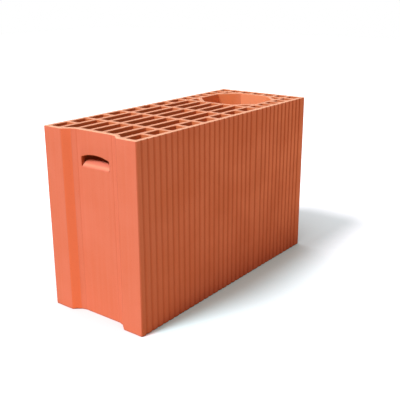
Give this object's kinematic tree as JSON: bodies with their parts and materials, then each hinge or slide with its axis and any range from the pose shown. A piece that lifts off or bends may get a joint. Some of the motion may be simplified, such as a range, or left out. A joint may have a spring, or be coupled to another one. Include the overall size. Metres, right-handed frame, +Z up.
{
  "type": "perforated clay corner block",
  "caption": "Fired clay wall block with vertical cells, an eight-sided void for a tie column at one end, an interlock recess with a hand-hold at the other, and grooved sides.",
  "frame": {"origin": "middle of the lower bed face, where the block rests", "axes": "+X along the wall, from the recessed end towards the end with the pillar void; +Y across the wall; +Z up, along the cells"},
  "size_m": [0.5, 0.2, 0.314],
  "materials": {
    "fired_clay": "dry, matt, unglazed"
  },
  "bodies": {
    "root": {"clay_block": "fired_clay"}
  },
  "joints": []
}
